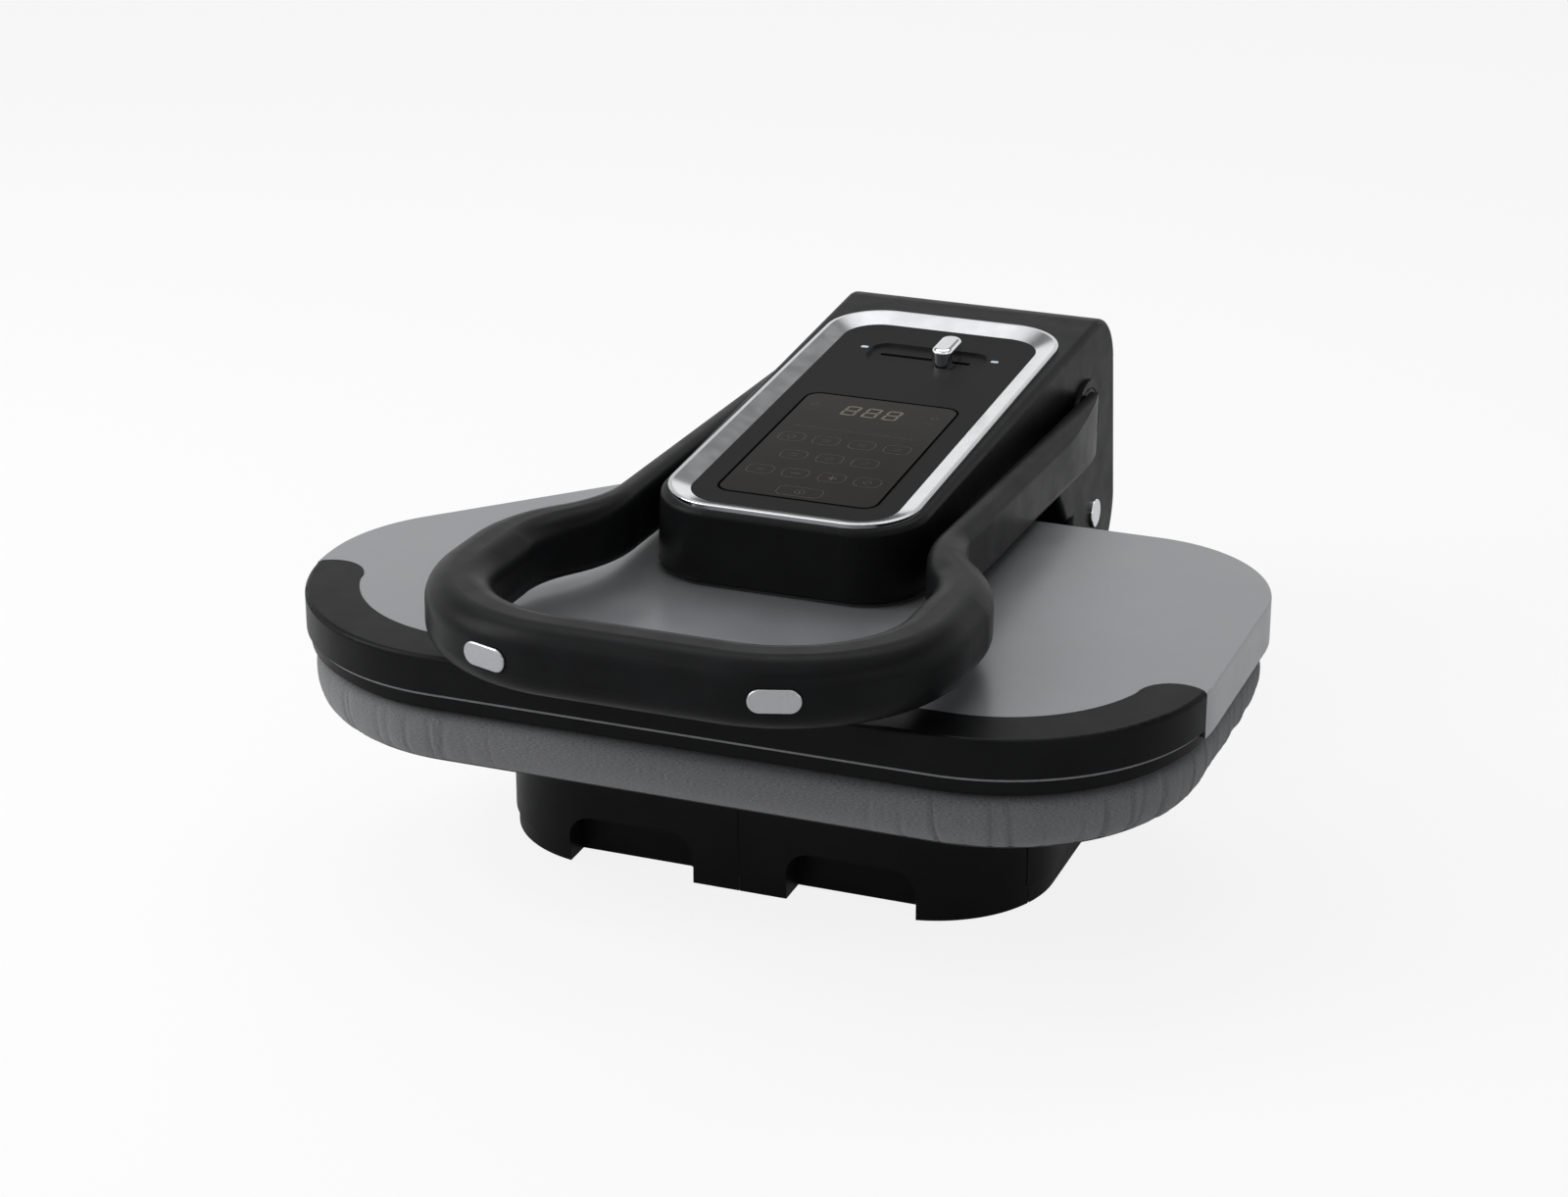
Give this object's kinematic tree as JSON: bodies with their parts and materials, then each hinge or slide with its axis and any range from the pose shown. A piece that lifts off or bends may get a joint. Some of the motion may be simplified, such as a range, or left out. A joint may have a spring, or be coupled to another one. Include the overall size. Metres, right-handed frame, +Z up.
{
  "type": "steam ironing press",
  "caption": "Table-top steam ironing press: a flat heated head closes on a padded board, with a U-shaped handle, a sloping control console and a pull-out water tank.",
  "frame": {"origin": "on the table, in the middle of the whole press's footprint", "axes": "+X to the user's right across the board, +Y to the rear towards the hinge tower, +Z up"},
  "size_m": [0.56, 0.6622, 0.2455],
  "materials": {
    "silver": "satin silver-grey paint",
    "satin_black": "satin black moulding",
    "dark_seal": "matte",
    "pale_trim": "satin",
    "chrome": "polished",
    "panel_black": "matte",
    "smoked_glass": "gloss, smoked brown",
    "clear_lens": "clear",
    "grey_fabric": "woven cotton",
    "foam": "open-cell foam",
    "cast_aluminium": "cast, smooth",
    "steel": "zinc plated",
    "bush_brass": "plain",
    "feet_rubber": "matte",
    "inner_plastic": "matte",
    "clear_tube": "translucent",
    "circuit": "solder mask"
  },
  "bodies": {
    "base": {"base_housing": "satin_black", "base_cover": "inner_plastic", "rubber_feet": "feet_rubber", "power_inlet": "inner_plastic", "tank_valve": "inner_plastic", "water_pump": "inner_plastic", "water_tube": "clear_tube", "hinge_bracket": "steel", "anchor_pins": "steel", "hinge_bushes": "bush_brass", "hinge_drum": "satin_black", "lift_springs": "steel", "base_screws": "steel", "board_tray": "steel", "board_pad": "foam", "board_cover": "grey_fabric"},
    "tank": {"water_tank": "satin_black", "tank_cap": "satin_black"},
    "arm": {"head_shell": "silver", "front_bumper": "satin_black", "trim_strip": "pale_trim", "plate_carrier": "satin_black", "heating_plate": "cast_aluminium", "heating_element": "steel", "steam_chamber": "cast_aluminium", "thermostat": "bush_brass", "hinge_pins": "steel", "hinge_caps": "chrome", "arm_housing": "satin_black", "console_seal": "dark_seal", "arm_beam": "steel", "beam_screws": "steel", "handle_bushes": "bush_brass", "chrome_bezel": "chrome", "control_panel": "panel_black", "display_glass": "smoked_glass", "indicator_lenses": "clear_lens", "control_board": "circuit"},
    "slider": {"slider_knob": "chrome"},
    "handle": {"handle_upper": "satin_black", "handle_lower": "satin_black", "hub_discs": "satin_black", "handle_shaft": "steel", "button_switches": "inner_plastic"},
    "links": {"pressure_links": "steel"},
    "left_button": {"button_left": "chrome"},
    "right_button": {"button_right": "chrome"}
  },
  "joints": [
    {"name": "arm_hinge", "type": "hinge", "parent": "base", "child": "arm", "pos_m": [0, 0.2535, 0.108], "axis": [-1, 0, 0], "range_deg": [0, 50]},
    {"name": "handle_hinge", "type": "hinge", "parent": "arm", "child": "handle", "pos_m": [0, 0.234, 0.176], "axis": [-1, 0, 0], "range_deg": [0, 17.5]},
    {"name": "link_hinge", "type": "hinge", "parent": "handle", "child": "links", "pos_m": [0, 0.2414, 0.1596], "axis": [-1, 0, 0], "range_deg": [-26.5, 0]},
    {"name": "temperature_slide", "type": "slide", "parent": "arm", "child": "slider", "axis": [1, 0, 0], "range_m": [-0.03, 0]},
    {"name": "left_press", "type": "slide", "parent": "handle", "child": "left_button", "axis": [0.319, 0.9478, 0], "range_m": [0, 0.002], "stiffness_N_per_m": 600, "springref_m": -0.001},
    {"name": "right_press", "type": "slide", "parent": "handle", "child": "right_button", "axis": [-0.319, 0.9478, 0], "range_m": [0, 0.002], "stiffness_N_per_m": 600, "springref_m": -0.001},
    {"name": "tank_pull", "type": "slide", "parent": "base", "child": "tank", "axis": [0, -1, 0], "range_m": [0, 0.11]}
  ],
  "couplings": [
    {"joint": "handle_hinge", "follows": "arm_hinge", "ratio": 0.35},
    {"joint": "link_hinge", "follows": "arm_hinge", "ratio": -0.53}
  ]
}
